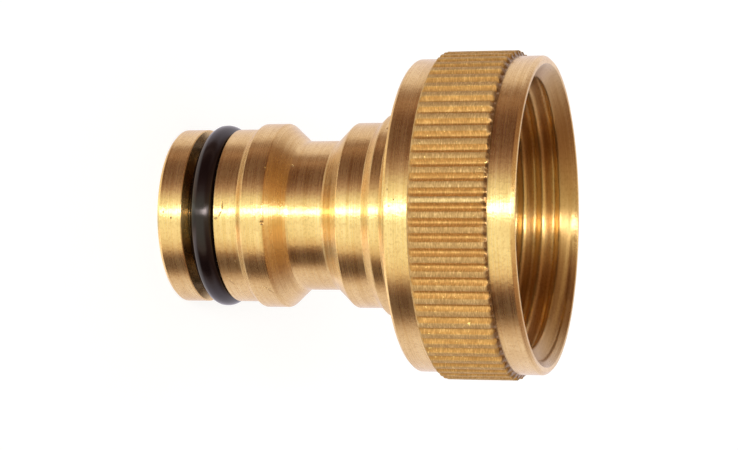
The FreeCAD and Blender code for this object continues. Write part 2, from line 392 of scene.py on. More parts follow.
# %% Knocks and scratches
MARKS = (
    (6.5, 6.36, 8.0, 0.42, 0.05, 88), (1.0, 6.15, 8.0, 0.30, 0.05, 60),
    (-1.9, 5.75, 8.0, 0.16, 0.06, 10), (-4.6, 10.28, 8.5, 0.20, 0.16, 30),
    (30.2, 10.21, 8.5, 0.08, 0.07, 0), (41.0, 12.1, 6.87, 0.30, 0.045, -38),
    (-45.0, 6.15, 8.0, 0.55, 0.035, -48), (-50.0, 6.3, 8.0, 0.50, 0.03, -55),
    (-50.5, 9.7, 8.5, 0.55, 0.04, -30), (-54.0, 10.0, 8.5, 0.45, 0.035, -50),
    (-31.2, 7.21, 8.0, 0.07, 0.06, 0), (56.9, 21.06, 9.28, 0.20, 0.13, 20),
    (9.0, 23.5, 14.22, 0.10, 0.04, 80), (5.5, 24.1, 14.22, 0.08, 0.05, 20),
    (3.2, 23.7, 14.22, 0.07, 0.04, 60), (-2.2, 4.0, 8.0, 0.1, 0.06, 0),
    (-1.5, 1.45, 8.0, 0.10, 0.07, 30), (2.2, 0.7, 8.0, 0.09, 0.06, 70),
    (-150.0, 24.3, 14.22, 0.35, 0.05, 35), (118.0, 33.4, 14.36, 0.40, 0.04, -60),
    (-110.0, 9.3, 8.5, 0.45, 0.04, 65), (165.0, 18.3, 8.5, 0.40, 0.05, -25),
    (100.0, 1.4, 8.0, 0.25, 0.05, 80), (-75.0, 33.2, 14.36, 0.12, 0.08, 15),
)
MARK_SPREAD = 1.5


def vector_sum(tree, operation, first, second):
    return place(tree, "ShaderNodeVectorMath", {0: first, 1: second}, operation=operation).outputs


def one_mark(tree, coordinates, bearing, height, radius, half_length, half_width, slant):
    """1 in the middle of a mark, 0 outside its ellipse."""
    a, b = math.radians(bearing), math.radians(slant)
    centre = tuple(MM * part for part in (-radius * math.sin(a), -radius * math.cos(a), height))
    along = (-math.cos(a) * math.sin(b), math.sin(a) * math.sin(b), math.cos(b))
    offset = vector_sum(tree, "SUBTRACT", coordinates, centre)[0]
    run = vector_sum(tree, "DOT_PRODUCT", offset, along)["Value"]
    total = vector_sum(tree, "DOT_PRODUCT", offset, offset)["Value"]
    run_squared = reckon(tree, "MULTIPLY", run, run)
    aside_squared = reckon(tree, "SUBTRACT", total, run_squared)
    aside = reckon(tree, "MULTIPLY", aside_squared, (MARK_SPREAD * half_width * MM) ** -2)
    spent = reckon(tree, "MULTIPLY_ADD", run_squared, (half_length * MM) ** -2, aside)
    return map_range(tree, spent, 1.0, 0.2, 0.0, 1.0)


def tool_marks(tree, coordinates):
    """1 in the middle of each knock or scratch, 0 away from them."""
    deepest = 0.0
    for mark in MARKS:
        deepest = reckon(tree, "MAXIMUM", deepest, one_mark(tree, coordinates, *mark))
    return deepest


print("marks:", len(MARKS))

# %% [markdown]
# The layers go over each other: tool lines, stain and specks as on the real surface, then painted
# shade, then knocks.
# A range says from which to which value of a noise it runs, and then from which to which result. A
# relief is a strength and a height.

# %% Turned brass
SPECK_CELLS, STAIN_CELLS = 4200.0, 320.0
SPECK_COLOUR = (0.62, 0.38, 0.15)
# the colour of painted shade in the groove, at the run-out, on the bevel and in the thread
PAINTED_SHADE_COLOUR = (0.16, 0.09, 0.045)
INSIDE_TINT = (1.0, 0.95, 0.84)
MARK_COLOUR = (0.45, 0.25, 0.09)
STAIN_RANGE = (0.42, 0.68, 0.0, 0.45)
SPECK_RANGE = (0.46, 0.70, 0.0, 0.45)
BRASS_GLOSS = (0.35, 0.65, 0.22, 0.29)
STAIN_DULLS, INSIDE_DULLS, MARK_DARKENS = 0.12, 0.07, 0.75
LINE_RELIEF, SPECK_RELIEF, MARK_RELIEF = (0.8, 1.1e-5), (0.45, 1.6e-5), (0.9, 9e-5)


def new_material(name):
    material = bpy.data.materials.new(name)
    material.use_nodes = True
    tree = material.node_tree
    tree.nodes.clear()
    shader = place(tree, "ShaderNodeBsdfPrincipled")
    place(tree, "ShaderNodeOutputMaterial", {"Surface": shader.outputs[0]})
    return material, tree, shader


def turned_brass():
    material, tree, shader = new_material("turned_brass")
    coordinates = place(tree, "ShaderNodeTexCoord").outputs["Object"]
    fine = stretched_noise(tree, coordinates, *FINE_LINES)
    broad = stretched_noise(tree, coordinates, *BROAD_LINES)
    lines = weighted(tree, fine, 0.5, broad, 0.5)
    stain = noise(tree, coordinates, STAIN_CELLS, 6.0, 0.65)
    dull = map_range(tree, stain, *STAIN_RANGE)
    speck = noise(tree, coordinates, SPECK_CELLS, 2.0)
    specked = map_range(tree, speck, *SPECK_RANGE)
    inside = painted(tree, "threaded")
    hollow = tool_marks(tree, coordinates)
    marked = reckon(tree, "MULTIPLY", hollow, MARK_DARKENS)

    colour = colour_ramp(tree, lines, ((0.37, BRASS_DEEP), (0.60, BRASS_LIGHT)))
    colour = blend_colours(tree, "MIX", dull, colour, BRASS_DEEP)
    colour = blend_colours(tree, "MIX", specked, colour, SPECK_COLOUR)
    # painted shade: darker in the ring's groove, at the knurl's run-out, on the bevel and in the
    # thread
    colour = blend_colours(tree, "MIX", painted(tree, "painted_shade"), colour, PAINTED_SHADE_COLOUR)
    colour = blend_colours(tree, "MULTIPLY", inside, colour, INSIDE_TINT)
    colour = blend_colours(tree, "MIX", marked, colour, MARK_COLOUR)
    tree.links.new(colour, shader.inputs["Base Color"])

    gloss = map_range(tree, lines, *BRASS_GLOSS)
    gloss = reckon(tree, "MULTIPLY_ADD", dull, STAIN_DULLS, gloss)
    gloss = reckon(tree, "MULTIPLY_ADD", inside, INSIDE_DULLS, gloss)
    tree.links.new(gloss, shader.inputs["Roughness"])

    relief = bump(tree, *LINE_RELIEF, lines)
    relief = bump(tree, *SPECK_RELIEF, speck, relief)
    relief = bump(tree, *MARK_RELIEF, hollow, relief, invert=True)
    tree.links.new(relief, shader.inputs["Normal"])
    round_axis = place(tree, "ShaderNodeTangent", direction_type="RADIAL", axis="Z")
    tree.links.new(round_axis.outputs[0], shader.inputs["Tangent"])
    shader.inputs["Metallic"].default_value = 1.0
    shader.inputs["Anisotropic"].default_value = 0.95
    shader.inputs["Anisotropic Rotation"].default_value = 0.25
    return material


TURNED = turned_brass()
print("material:", TURNED.name)

# %% [markdown]
# ## Knurled brass
#
# The knurl is pressed in by a hard wheel, so its ridges are torn and grainy where the rest is
# smooth. One grainy noise could do for the whole collar, but it would miss what follows the ridges.
# So the mesh carries three attributes: pressed is the depth in a groove, which tints the brass
# darker there as painted shade, rubbed marks the highest ridges, which wear polishes, and the
# third is painted shade on the narrow slope where the ridges end. The rest of the finish is rough
# the same way in all directions, with a few sparse glints, which are painted highlights.

# %% Knurled brass
KNURL_GRAIN = (2600.0, 9000.0, 3.0)
PATCH_CELLS, PAINTED_GLINT_CELLS = 1500.0, 3600.0
KNURL_COLOURS = (
    (0.34, (0.485, 0.325, 0.147)), (0.55, (0.62, 0.426, 0.197)), (0.76, (0.89, 0.715, 0.402)),
)
# painted shade in the knurl's grooves, darker and warmer by depth
GROOVE_SHADE_TINT = (
    (0.0, (1, 1, 1)), (0.25, (0.98, 0.82, 0.56)),
    (0.6, (0.98, 0.80, 0.57)), (1.0, (0.95, 0.79, 0.58)),
)
# painted highlights: the colour of the sparse glints
PAINTED_GLINT_COLOUR = (1.0, 0.78, 0.30)
# the colour of painted shade on the slope where the ridges end
RUN_OUT_SHADE_COLOUR = (0.13, 0.06, 0.03)
PAINTED_GLINT_RANGE = (0.71, 0.80, 0.0, 0.9)
KNURL_GLOSS = (0.38, 0.66, 0.80, 0.66)
KNURL_RELIEF = (0.6, 4e-5)


def knurled_brass():
    material, tree, shader = new_material("knurled_brass")
    coordinates = place(tree, "ShaderNodeTexCoord").outputs["Object"]
    grain = stretched_noise(tree, coordinates, *KNURL_GRAIN)
    patch = noise(tree, coordinates, PATCH_CELLS, 3.0)
    mixed = weighted(tree, grain, 0.75, patch, 0.25)
    painted_glint = map_range(tree, noise(tree, coordinates, PAINTED_GLINT_CELLS, 1.0), *PAINTED_GLINT_RANGE)
    pressed, rubbed, painted_shade = (painted(tree, name) for name in ("pressed", "rubbed", "painted_shade"))

    colour = colour_ramp(tree, mixed, KNURL_COLOURS)
    # painted shade: the grooves are tinted darker and warmer
    colour = blend_colours(tree, "MULTIPLY", 1.0, colour, colour_ramp(tree, pressed, GROOVE_SHADE_TINT))
    # painted highlights: sparse specks of brighter colour, which are also smoother
    colour = blend_colours(tree, "MIX", painted_glint, colour, PAINTED_GLINT_COLOUR)
    # painted shade on the slope where the ridges end
    colour = blend_colours(tree, "MIX", painted_shade, colour, RUN_OUT_SHADE_COLOUR)
    tree.links.new(colour, shader.inputs["Base Color"])

    gloss = map_range(tree, mixed, *KNURL_GLOSS)
    for share, change in ((pressed, -0.2), (painted_glint, -0.3), (painted_shade, -0.7), (rubbed, -0.28)):
        gloss = reckon(tree, "MULTIPLY_ADD", share, change, gloss)
    tree.links.new(gloss, shader.inputs["Roughness"])
    tree.links.new(bump(tree, *KNURL_RELIEF, mixed), shader.inputs["Normal"])
    shader.inputs["Metallic"].default_value = 0.9
    return material


KNURLED = knurled_brass()
print("material:", KNURLED.name)

# %% [markdown]
# ## The half section
#
# A lathe part is its half section swept round the axis. It could be stacked from cylinders and
# cones, but one closed section gives one closed skin. It is written as corners, (radius, height,
# broken edge), in millimetres, from the bore's lower edge out over the spigot, up the outside, over
# the rim and down inside the mouth. A corner with a broken edge becomes two points, because a real
# turned corner is never razor sharp and its tiny flat catches the light.

# %% Corners of the half section
SPIGOT_RADIUS, GROOVE_LOW, GROOVE_HIGH = 8.0, 2.38, 5.45
BAND_RADIUS = 14.2205
TIP_RADIUS = 14.8805
GROOVE_ROOT_RADIUS = 14.4505
MOUTH_RING_RADIUS = 14.3605
KNURL_START, KNURL_FULL, KNURL_END, KNURL_CLEAR = 25.25, 25.65, 31.97, 32.30
CORE_RADIUS = 12.059
THREAD_MAJOR_RADIUS = 13.2205
THREAD_PITCH = 1.814
THREAD_LOW, BEVEL_START = 27.55, 33.04
THREAD_HIGH = BEVEL_START + THREAD_MAJOR_RADIUS - CORE_RADIUS + 0.01
RELIEF_RADIUS, SEAT = 13.3005, 25.15
RIM, RIM_INNER_RADIUS = 34.64, 13.6605
BORE_RADIUS, BORE_EDGE = 4.75, 0.4

SPIGOT = (
    (BORE_RADIUS + BORE_EDGE, 0.0, 0), (7.7, 0.0, 0.03), (SPIGOT_RADIUS, 0.3, 0.03),
    (SPIGOT_RADIUS, GROOVE_LOW, 0.07), (7.3, GROOVE_LOW, 0), (6.0, GROOVE_LOW, 0.1),
    (6.0, GROOVE_HIGH, 0.1), (SPIGOT_RADIUS, GROOVE_HIGH, 0.07), (SPIGOT_RADIUS, 7.65, 0.06),
    (8.5, 8.2, 0.06), (8.5, 10.25, 0.05), (6.87, 12.05, 0.12), (6.87, 15.4, 0.12),
    (8.5, 17.1, 0.06), (8.5, 19.52, 0.06), (9.28, 20.35, 0.06), (9.28, 21.35, 0.04),
    (9.8, 21.85, 0.05), (9.8, 22.6, 0.04), (10.15, 22.95, 0.04),
    (BAND_RADIUS - 0.25, 22.95, 0.03), (BAND_RADIUS, 23.2, 0.03), (BAND_RADIUS, KNURL_START, 0),
)
MOUTH_OUTSIDE = (
    (MOUTH_RING_RADIUS, KNURL_CLEAR, 0), (MOUTH_RING_RADIUS, RIM - 0.3, 0.04),
    (MOUTH_RING_RADIUS - 0.3, RIM, 0.04), (RIM_INNER_RADIUS, RIM, 0.04),
    (CORE_RADIUS + THREAD_HIGH - BEVEL_START, THREAD_HIGH, 0),
)
MOUTH_BOTTOM = (
    (RELIEF_RADIUS, THREAD_LOW, 0), (RELIEF_RADIUS, SEAT, 0.1),
    (BORE_RADIUS + BORE_EDGE, SEAT, 0.03), (BORE_RADIUS, SEAT - BORE_EDGE, 0.03),
    (BORE_RADIUS, BORE_EDGE, 0), (BORE_RADIUS + BORE_EDGE, 0.0, 0),
)


def break_corners(corners):
    """Corners with a break become two points, cut back along both sides."""
    points = []
    for number, (radius, height, cut) in enumerate(corners):
        if cut == 0 or number in (0, len(corners) - 1):
            points.append((radius, height))
            continue
        for other in (corners[number - 1], corners[number + 1]):
            length = math.hypot(other[0] - radius, other[1] - height)
            points.append((radius + (other[0] - radius) * cut / length,
                           height + (other[1] - height) * cut / length))
    return points


print("corners:", len(SPIGOT) + len(MOUTH_OUTSIDE) + len(MOUTH_BOTTOM))

# %% [markdown]
# Each point of the section also says what the lathe tree is to do with its row: keep its edge
# crisp, knurl it or thread it, and how much shade is painted there. Painted shade darkens the
# ring's groove, the knurl's run-out and, a little, the bevel and the thread.

# %% Rows of the half section
SECTION_MARKS = ("crisp", "knurled", "threaded", "painted_shade")
ROWS_A_PITCH = 14
KNURL_ROWS = 18
RUN_OUT_STRIP = 0.15
# how dark shade is painted in the ring's groove, at the run-out, on the bevel and in the thread
GROOVE_SHADE, RUN_OUT_SHADE, BEVEL_SHADE, THREAD_SHADE = 0.35, 0.62, 0.45, 0.12


def groove_shade(radius, height):
    """Painted shade lies deep in the ring's groove and thins out towards its upper edges."""
    inside = GROOVE_LOW - 0.01 < height < GROOVE_HIGH + 0.01
    return GROOVE_SHADE * ((SPIGOT_RADIUS - radius) / 2) ** 2 if inside else 0.0


def section_row(radius, height, crisp=0, knurled=0, threaded=0, painted_shade=0):
    return (radius, height, crisp, knurled, threaded, painted_shade)


def knurl_rows():
    """The lead-in, the ridges at full height and the run-out."""
    slope = (KNURL_FULL - KNURL_START) / (TIP_RADIUS - BAND_RADIUS)
    groove_opens = KNURL_START + slope * (GROOVE_ROOT_RADIUS - BAND_RADIUS)
    rows = [section_row(BAND_RADIUS, KNURL_START, crisp=1, knurled=1)]
    rows.append(section_row(GROOVE_ROOT_RADIUS, groove_opens, knurled=1))
    for step in range(KNURL_ROWS + 1):
        height = KNURL_FULL + (KNURL_END - KNURL_FULL) * step / KNURL_ROWS
        rows.append(section_row(TIP_RADIUS, height, knurled=1))
    halfway = ((TIP_RADIUS + MOUTH_RING_RADIUS) / 2, (KNURL_END + KNURL_CLEAR) / 2)
    # the run-out slope is painted darker, as shade
    rows.append(section_row(*halfway, knurled=1, painted_shade=RUN_OUT_SHADE))
    foot = (MOUTH_RING_RADIUS, KNURL_CLEAR)
    rows.append(section_row(*foot, crisp=1, knurled=1, painted_shade=RUN_OUT_SHADE))
    return rows


def thread_rows():
    """Rows from the rim down to the relief. The tree lets them climb round the axis."""
    count = math.ceil((THREAD_HIGH - THREAD_LOW) / THREAD_PITCH * ROWS_A_PITCH) + ROWS_A_PITCH
    heights = [THREAD_HIGH - step * THREAD_PITCH / ROWS_A_PITCH for step in range(count + 1)]
    # the thread is painted a little darker, as shade
    return [section_row(CORE_RADIUS, height, threaded=1, painted_shade=THREAD_SHADE) for height in heights]


def body_section():
    rows = []
    for radius, height in break_corners(SPIGOT)[:-1]:
        rows.append(section_row(radius, height, crisp=1, painted_shade=groove_shade(radius, height)))
    rows += knurl_rows()
    rows.append(section_row(MOUTH_RING_RADIUS, KNURL_CLEAR + RUN_OUT_STRIP, crisp=1))
    for radius, height in break_corners(MOUTH_OUTSIDE)[1:]:
        # the bevel is painted a little darker, as shade
        painted_shade = BEVEL_SHADE * (radius < RIM_INNER_RADIUS + 0.01)
        rows.append(section_row(radius, height, crisp=1, painted_shade=painted_shade))
    rows += thread_rows()
    rows += [section_row(radius, height, crisp=1) for radius, height in break_corners(MOUTH_BOTTOM)]
    return rows


# %% [markdown]
# The section could be a curve, but a mesh keeps exactly one point for each row, and its points can
# carry the marks as attributes.

# %% Draw the half section
def section_object(name, rows):
    """The section as a line of points that the lathe tree reads."""
    mesh = bpy.data.meshes.new(name)
    points = [(row[0] * MM, 0, row[1] * MM) for row in rows]
    mesh.from_pydata(points, [(i, i + 1) for i in range(len(points) - 1)], [])
    for column, attribute in enumerate(SECTION_MARKS, start=2):
        data = mesh.attributes.new(attribute, "FLOAT", "POINT").data
        data.foreach_set("value", [float(row[column]) for row in rows])
    drawn = bpy.data.objects.new(name, mesh)
    scene.collection.objects.link(drawn)
    return drawn


body = section_object("connector_brass", body_section())
print("half section:", len(body.data.vertices), "points")

# %% [markdown]
# ## A lathe made of nodes
#
# A Screw modifier could sweep the section, but it can't change a row on its way round. Geometry
# Nodes can. A grid has one column for each step round the axis and one row for each point of the
# section. Its points are then set by rule:
#
# - a plain row stays at its radius and height;
# - a knurled row is cut back by a groove between each two ridges, a little differently for each
#   ridge;
# - a threaded row climbs by one pitch in a turn, so that crests and roots of the thread run along
#   rows.
#
# The tree's sizes are named inputs, so that one lathe turns the brass, the rubber ring and the
# washer.

# %% Open the lathe tree
LATHE_INPUTS = (
    ("Section", "NodeSocketGeometry", None),
    ("Ridges", "NodeSocketInt", 72),
    ("First Ridge Turn", "NodeSocketFloat", 0.0),
    ("Groove Depth", "NodeSocketFloat", 0.43 * MM),
    ("Ridge Height Spread", "NodeSocketFloat", 0.03 * MM),
    ("Ridge Grain", "NodeSocketFloat", 0.05 * MM),
    ("Ragged Ends", "NodeSocketFloat", 0.2 * MM),
    ("Knurl Full Radius", "NodeSocketFloat", TIP_RADIUS * MM),
    ("Knurl End", "NodeSocketFloat", KNURL_END * MM),
    ("Thread Pitch", "NodeSocketFloat", THREAD_PITCH * MM),
    ("Thread Turn", "NodeSocketFloat", 0.0),
    ("Core Radius", "NodeSocketFloat", CORE_RADIUS * MM),
    ("Thread Major Radius", "NodeSocketFloat", THREAD_MAJOR_RADIUS * MM),
    ("Thread Low", "NodeSocketFloat", THREAD_LOW * MM),
    ("Thread High", "NodeSocketFloat", THREAD_HIGH * MM),
    ("Bevel Start", "NodeSocketFloat", BEVEL_START * MM),
    ("Seed", "NodeSocketInt", 7),
    ("Plain Finish", "NodeSocketMaterial", None),
    ("Knurl Finish", "NodeSocketMaterial", None),
)


def open_lathe():
    """A tree with its inputs and output, and nothing between them yet."""
    tree = bpy.data.node_groups.new("lathe", "GeometryNodeTree")
    for name, kind, value in LATHE_INPUTS:
        socket = tree.interface.new_socket(name, in_out="INPUT", socket_type=kind)
        if value is not None:
            socket.default_value = value
    tree.interface.new_socket("Turned", in_out="OUTPUT", socket_type="NodeSocketGeometry")
    return tree, place(tree, "NodeGroupInput").outputs


print("lathe inputs:", len(LATHE_INPUTS))

# %% [markdown]
# The columns crowd where the grooves of the knurl need them: each ridge has eight, at these shares
# of its pitch. A point's number in the grid gives its row and column, and the column gives its
# ridge.

# %% Columns and rows
COLUMNS_IN_RIDGE = (0.0, 0.13, 0.30, 0.318, 0.5, 0.682, 0.70, 0.87)


def whole(tree, operation, *values):
    """One sum of whole numbers."""
    inputs = dict(enumerate(values))
    return place(tree, "FunctionNodeIntegerMath", inputs, operation=operation).outputs[0]


def lay_grid(tree, given):
    """The grid, and each point's row, its ridge and its column in that ridge."""
    per_ridge = len(COLUMNS_IN_RIDGE)
    size = place(tree, "GeometryNodeAttributeDomainSize", {0: given["Section"]}, component="MESH")
    rows = size.outputs["Point Count"]
    columns = whole(tree, "ADD", whole(tree, "MULTIPLY", given["Ridges"], per_ridge), 1)
    grid = place(tree, "GeometryNodeMeshGrid", {"Vertices X": columns, "Vertices Y": rows})
    index = place(tree, "GeometryNodeInputIndex").outputs[0]
    column, row = whole(tree, "DIVIDE_FLOOR", index, rows), whole(tree, "MODULO", index, rows)
    ridge = whole(tree, "DIVIDE_FLOOR", column, per_ridge)
    return grid.outputs["Mesh"], row, ridge, whole(tree, "MODULO", column, per_ridge)


def place_in_ridge(tree, step):
    """The share of its ridge's pitch at which a column stands."""
    spacing = place(tree, "GeometryNodeIndexSwitch", data_type="FLOAT")
    while len(spacing.index_switch_items) < len(COLUMNS_IN_RIDGE):
        spacing.index_switch_items.new()
    for number, share in enumerate(COLUMNS_IN_RIDGE, start=1):
        spacing.inputs[number].default_value = share
    tree.links.new(step, spacing.inputs[0])
    return spacing.outputs[0]


# %% [markdown]
# Each point of the grid looks up what the section says for its row, by the row's number.

# %% What the section says
def named_value(tree, name):
    inputs = {"Name": name}
    return place(tree, "GeometryNodeInputNamedAttribute", inputs, data_type="FLOAT").outputs[0]


def from_section(tree, given, row, kind, value):
    """The section's own value at this point's row."""
    inputs = {"Geometry": given["Section"], "Value": value, "Index": row}
    return place(tree, "GeometryNodeSampleIndex", inputs, data_type=kind, domain="POINT").outputs[0]


def choose(tree, test, when_no, when_yes):
    """when_yes where test is 1, when_no where it is 0."""
    change = reckon(tree, "SUBTRACT", when_yes, when_no)
    return reckon(tree, "ADD", when_no, reckon(tree, "MULTIPLY", test, change))


# %% [markdown]
# ### The thread
#
# A pipe thread is a V of 55 degrees with rounded crests and roots. It could be cut with a coiled
# cutter and a boolean, which easily leaves slivers. A rule keeps the skin clean: a point's height
# and its share of a turn say how far it lies from the middle of the thread's groove, and that gives
# its radius. The mouth's bevel cuts the first turns away. `partial(reckon, tree)` is `reckon` with
# its first argument already filled in, so the sums stay short.

# %% Rule of the thread
FLANK_ANGLE = math.radians(27.5)
THREAD_ROUNDING = 0.2 * MM


def thread_climb(tree, given, height, turn_share):
    """A threaded row's height, held between the relief and the rim."""
    sums = partial(reckon, tree)
    climbed = sums("ADD", height, sums("MULTIPLY", turn_share, given["Thread Pitch"]))
    return sums("MINIMUM", sums("MAXIMUM", climbed, given["Thread Low"]), given["Thread High"])


def thread_radius(tree, given, height, turn_share):
    sums = partial(reckon, tree)
    pitch, core, major = given["Thread Pitch"], given["Core Radius"], given["Thread Major Radius"]
    turns_up = sums("DIVIDE", height, pitch)
    phase = sums("FRACT", sums("ADD", sums("SUBTRACT", turns_up, turn_share), given["Thread Turn"]))
    off_groove = sums("MULTIPLY", sums("ABSOLUTE", sums("SUBTRACT", phase, 0.5)), pitch)
    into_groove = sums("SUBTRACT", sums("MULTIPLY", pitch, 0.25), off_groove)
    middle = sums("MULTIPLY", sums("ADD", core, major), 0.5)
    flank = sums("ADD", middle, sums("MULTIPLY", 1 / math.tan(FLANK_ANGLE), into_groove))
    cut = sums("SMOOTH_MIN", flank, major, THREAD_ROUNDING)
    cut = sums("SMOOTH_MAX", cut, core, THREAD_ROUNDING)
    bevel = sums("ADD", core, sums("SUBTRACT", height, given["Bevel Start"]))
    return sums("MAXIMUM", sums("MAXIMUM", bevel, core), cut)


# %% [markdown]
# ### The knurl
#
# A ridge's share of the turn has half a groove at each of its ends: a flat floor and a straight
# slope. One ridge could be made and repeated, but no two are quite alike, because the wheel slips
# and tears a little. So each gets its own height from a random value, a noise takes small tears out
# of its face, and its end at the run-out is ragged.

# %% Rule of the knurl
GROOVE_FLOOR_SHARE, GROOVE_EDGE_SHARE = 0.123, 0.3075
TEAR_CELLS, TEAR_LEVEL = 26.0, 0.45
RUBBED_BELOW, DULL_ABOVE = 0.06, 0.12
RAGGED_BY_COLUMN, RAGGED_BY_RIDGE = 0.4, 0.6


def random_value(tree, low, high, number, seed):
    inputs = {2: low, 3: high, "ID": number, "Seed": seed}
    return place(tree, "FunctionNodeRandomValue", inputs, data_type="FLOAT").outputs[1]


def torn_depth(tree, given, angle, height):
    """Small tears, from a noise that is laid round the collar."""
    sums = partial(reckon, tree)
    along = sums("MULTIPLY", height, 1 / (TIP_RADIUS * MM))
    around = {0: sums("COSINE", angle), 1: sums("SINE", angle), 2: along}
    tears = noise(tree, place(tree, "ShaderNodeCombineXYZ", around).outputs[0], TEAR_CELLS, 2.0)
    tears = sums("MAXIMUM", sums("SUBTRACT", tears, TEAR_LEVEL), 0.0)
    return sums("MULTIPLY", tears, given["Ridge Grain"])


def knurl_radius(tree, given, ridge, within, torn):
    """The radius that the wheel leaves, and where the highest ridges are rubbed bright."""
    sums = partial(reckon, tree)
    to_groove = sums("MINIMUM", within, sums("SUBTRACT", 1.0, within))
    groove = map_range(tree, to_groove, GROOVE_FLOOR_SHARE, GROOVE_EDGE_SHARE, 1.0, 0.0, "LINEAR")
    spread = random_value(tree, 0.0, 1.0, ridge, given["Seed"])
    lowered = sums("MULTIPLY", spread, given["Ridge Height Spread"])
    tip = sums("SUBTRACT", given["Knurl Full Radius"], lowered)
    radius = sums("SUBTRACT", tip, sums("MULTIPLY", groove, given["Groove Depth"]))
    high = map_range(tree, spread, RUBBED_BELOW, DULL_ABOVE, 1.0, 0.0)
    rubbed = sums("MULTIPLY", high, map_range(tree, groove, 0.0, 0.1, 1.0, 0.0))
    return sums("SUBTRACT", radius, torn), rubbed


def ragged_reach(tree, given, ridge, step):
    """How far a ridge's end lies off its line, as a share from -1 to 1."""
    number = whole(tree, "ADD", whole(tree, "MULTIPLY", ridge, len(COLUMNS_IN_RIDGE)), step)
    by_column = random_value(tree, -1.0, 1.0, number, whole(tree, "ADD", given["Seed"], 1))
    by_ridge = random_value(tree, -1.0, 1.0, ridge, whole(tree, "ADD", given["Seed"], 2))
    return weighted(tree, by_column, RAGGED_BY_COLUMN, by_ridge, RAGGED_BY_RIDGE)


# %% [markdown]
# ### Edges and finishes
#
# A turned edge looks crisp, while the thread and the knurl's faces are smooth in shading. The angle
# could decide, but some crisp edges are very shallow. So an edge is sharp where it lies level,
# along a row that says it is crisp. The plain finish goes on everything, and the knurl's finish on
# the faces whose rows are knurled.

# %% Edges and finishes
LEVEL_WITHIN = 1e-7


def shade_edges(tree, turned):
    edge = place(tree, "GeometryNodeInputMeshEdgeVertices").outputs
    first = place(tree, "ShaderNodeSeparateXYZ", {0: edge["Position 1"]}).outputs["Z"]
    second = place(tree, "ShaderNodeSeparateXYZ", {0: edge["Position 2"]}).outputs["Z"]
    level = reckon(tree, "COMPARE", first, second, LEVEL_WITHIN)
    crisp = reckon(tree, "GREATER_THAN", named_value(tree, "crisp"), 0.99)
    inputs = {"Geometry": turned, "Shade Smooth": True}
    turned = place(tree, "GeometryNodeSetShadeSmooth", inputs, domain="FACE").outputs[0]
    inputs = {"Geometry": turned, "Selection": reckon(tree, "MULTIPLY", level, crisp),
              "Shade Smooth": False}
    return place(tree, "GeometryNodeSetShadeSmooth", inputs, domain="EDGE").outputs[0]


def set_finishes(tree, given, turned):
    inputs = {"Geometry": turned, "Material": given["Plain Finish"]}
    turned = place(tree, "GeometryNodeSetMaterial", inputs).outputs[0]
    on_knurl = reckon(tree, "GREATER_THAN", named_value(tree, "knurled"), 0.9)
    inputs = {"Geometry": turned, "Material": given["Knurl Finish"], "Selection": on_knurl}
    return place(tree, "GeometryNodeSetMaterial", inputs).outputs[0]


# %% [markdown]
# ### The whole tree
#
# Each point gets its radius, its height and its angle, and the attributes that the finishes read.
# Merging by distance then closes the seam round the axis and the one along the bore.

# %% Build the lathe tree
END_WITHIN = 0.02 * MM
MERGE_WITHIN = 2e-7


